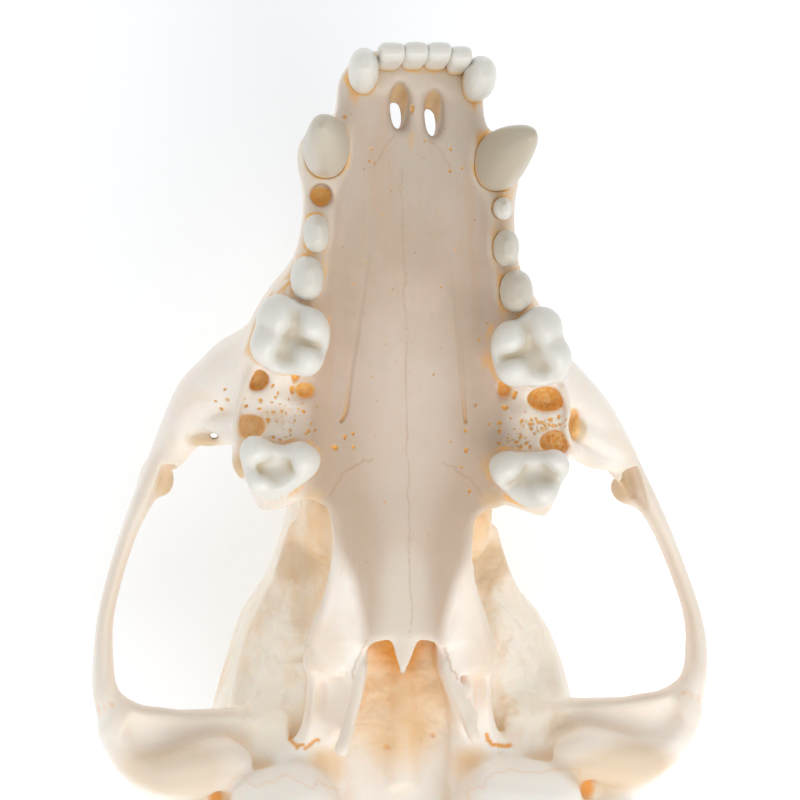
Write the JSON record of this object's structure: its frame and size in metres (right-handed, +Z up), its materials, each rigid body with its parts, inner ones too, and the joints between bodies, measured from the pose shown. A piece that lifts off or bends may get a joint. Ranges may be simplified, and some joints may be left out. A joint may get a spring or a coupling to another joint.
{
  "type": "raccoon skull",
  "caption": "Underside-up raccoon cranium with worn and missing cheek teeth, open cheek arches and no lower jaw, lying on the dome of its braincase.",
  "frame": {"origin": "point of the resting surface under the middle of the skull's bounding box", "axes": "+Y to the snout, +X to the animal's left, +Z up out of the palate, so the skull lies on its dome with its underside up"},
  "size_m": [0.0718, 0.1144, 0.0567],
  "materials": {
    "bone": "matte",
    "tooth enamel": "satin"
  },
  "bodies": {
    "root": {"cranium": "bone", "incisor_1_left": "tooth enamel", "incisor_1_right": "tooth enamel", "incisor_2_left": "tooth enamel", "incisor_2_right": "tooth enamel", "incisor_3_left": "tooth enamel", "incisor_3_right": "tooth enamel", "canine_left": "tooth enamel", "canine_right": "tooth enamel", "premolar_1_left": "tooth enamel", "premolar_2_left": "tooth enamel", "premolar_2_right": "tooth enamel", "premolar_3_left": "tooth enamel", "premolar_3_right": "tooth enamel", "premolar_4_left": "tooth enamel", "premolar_4_right": "tooth enamel", "molar_2_left": "tooth enamel", "molar_2_right": "tooth enamel"}
  },
  "joints": []
}
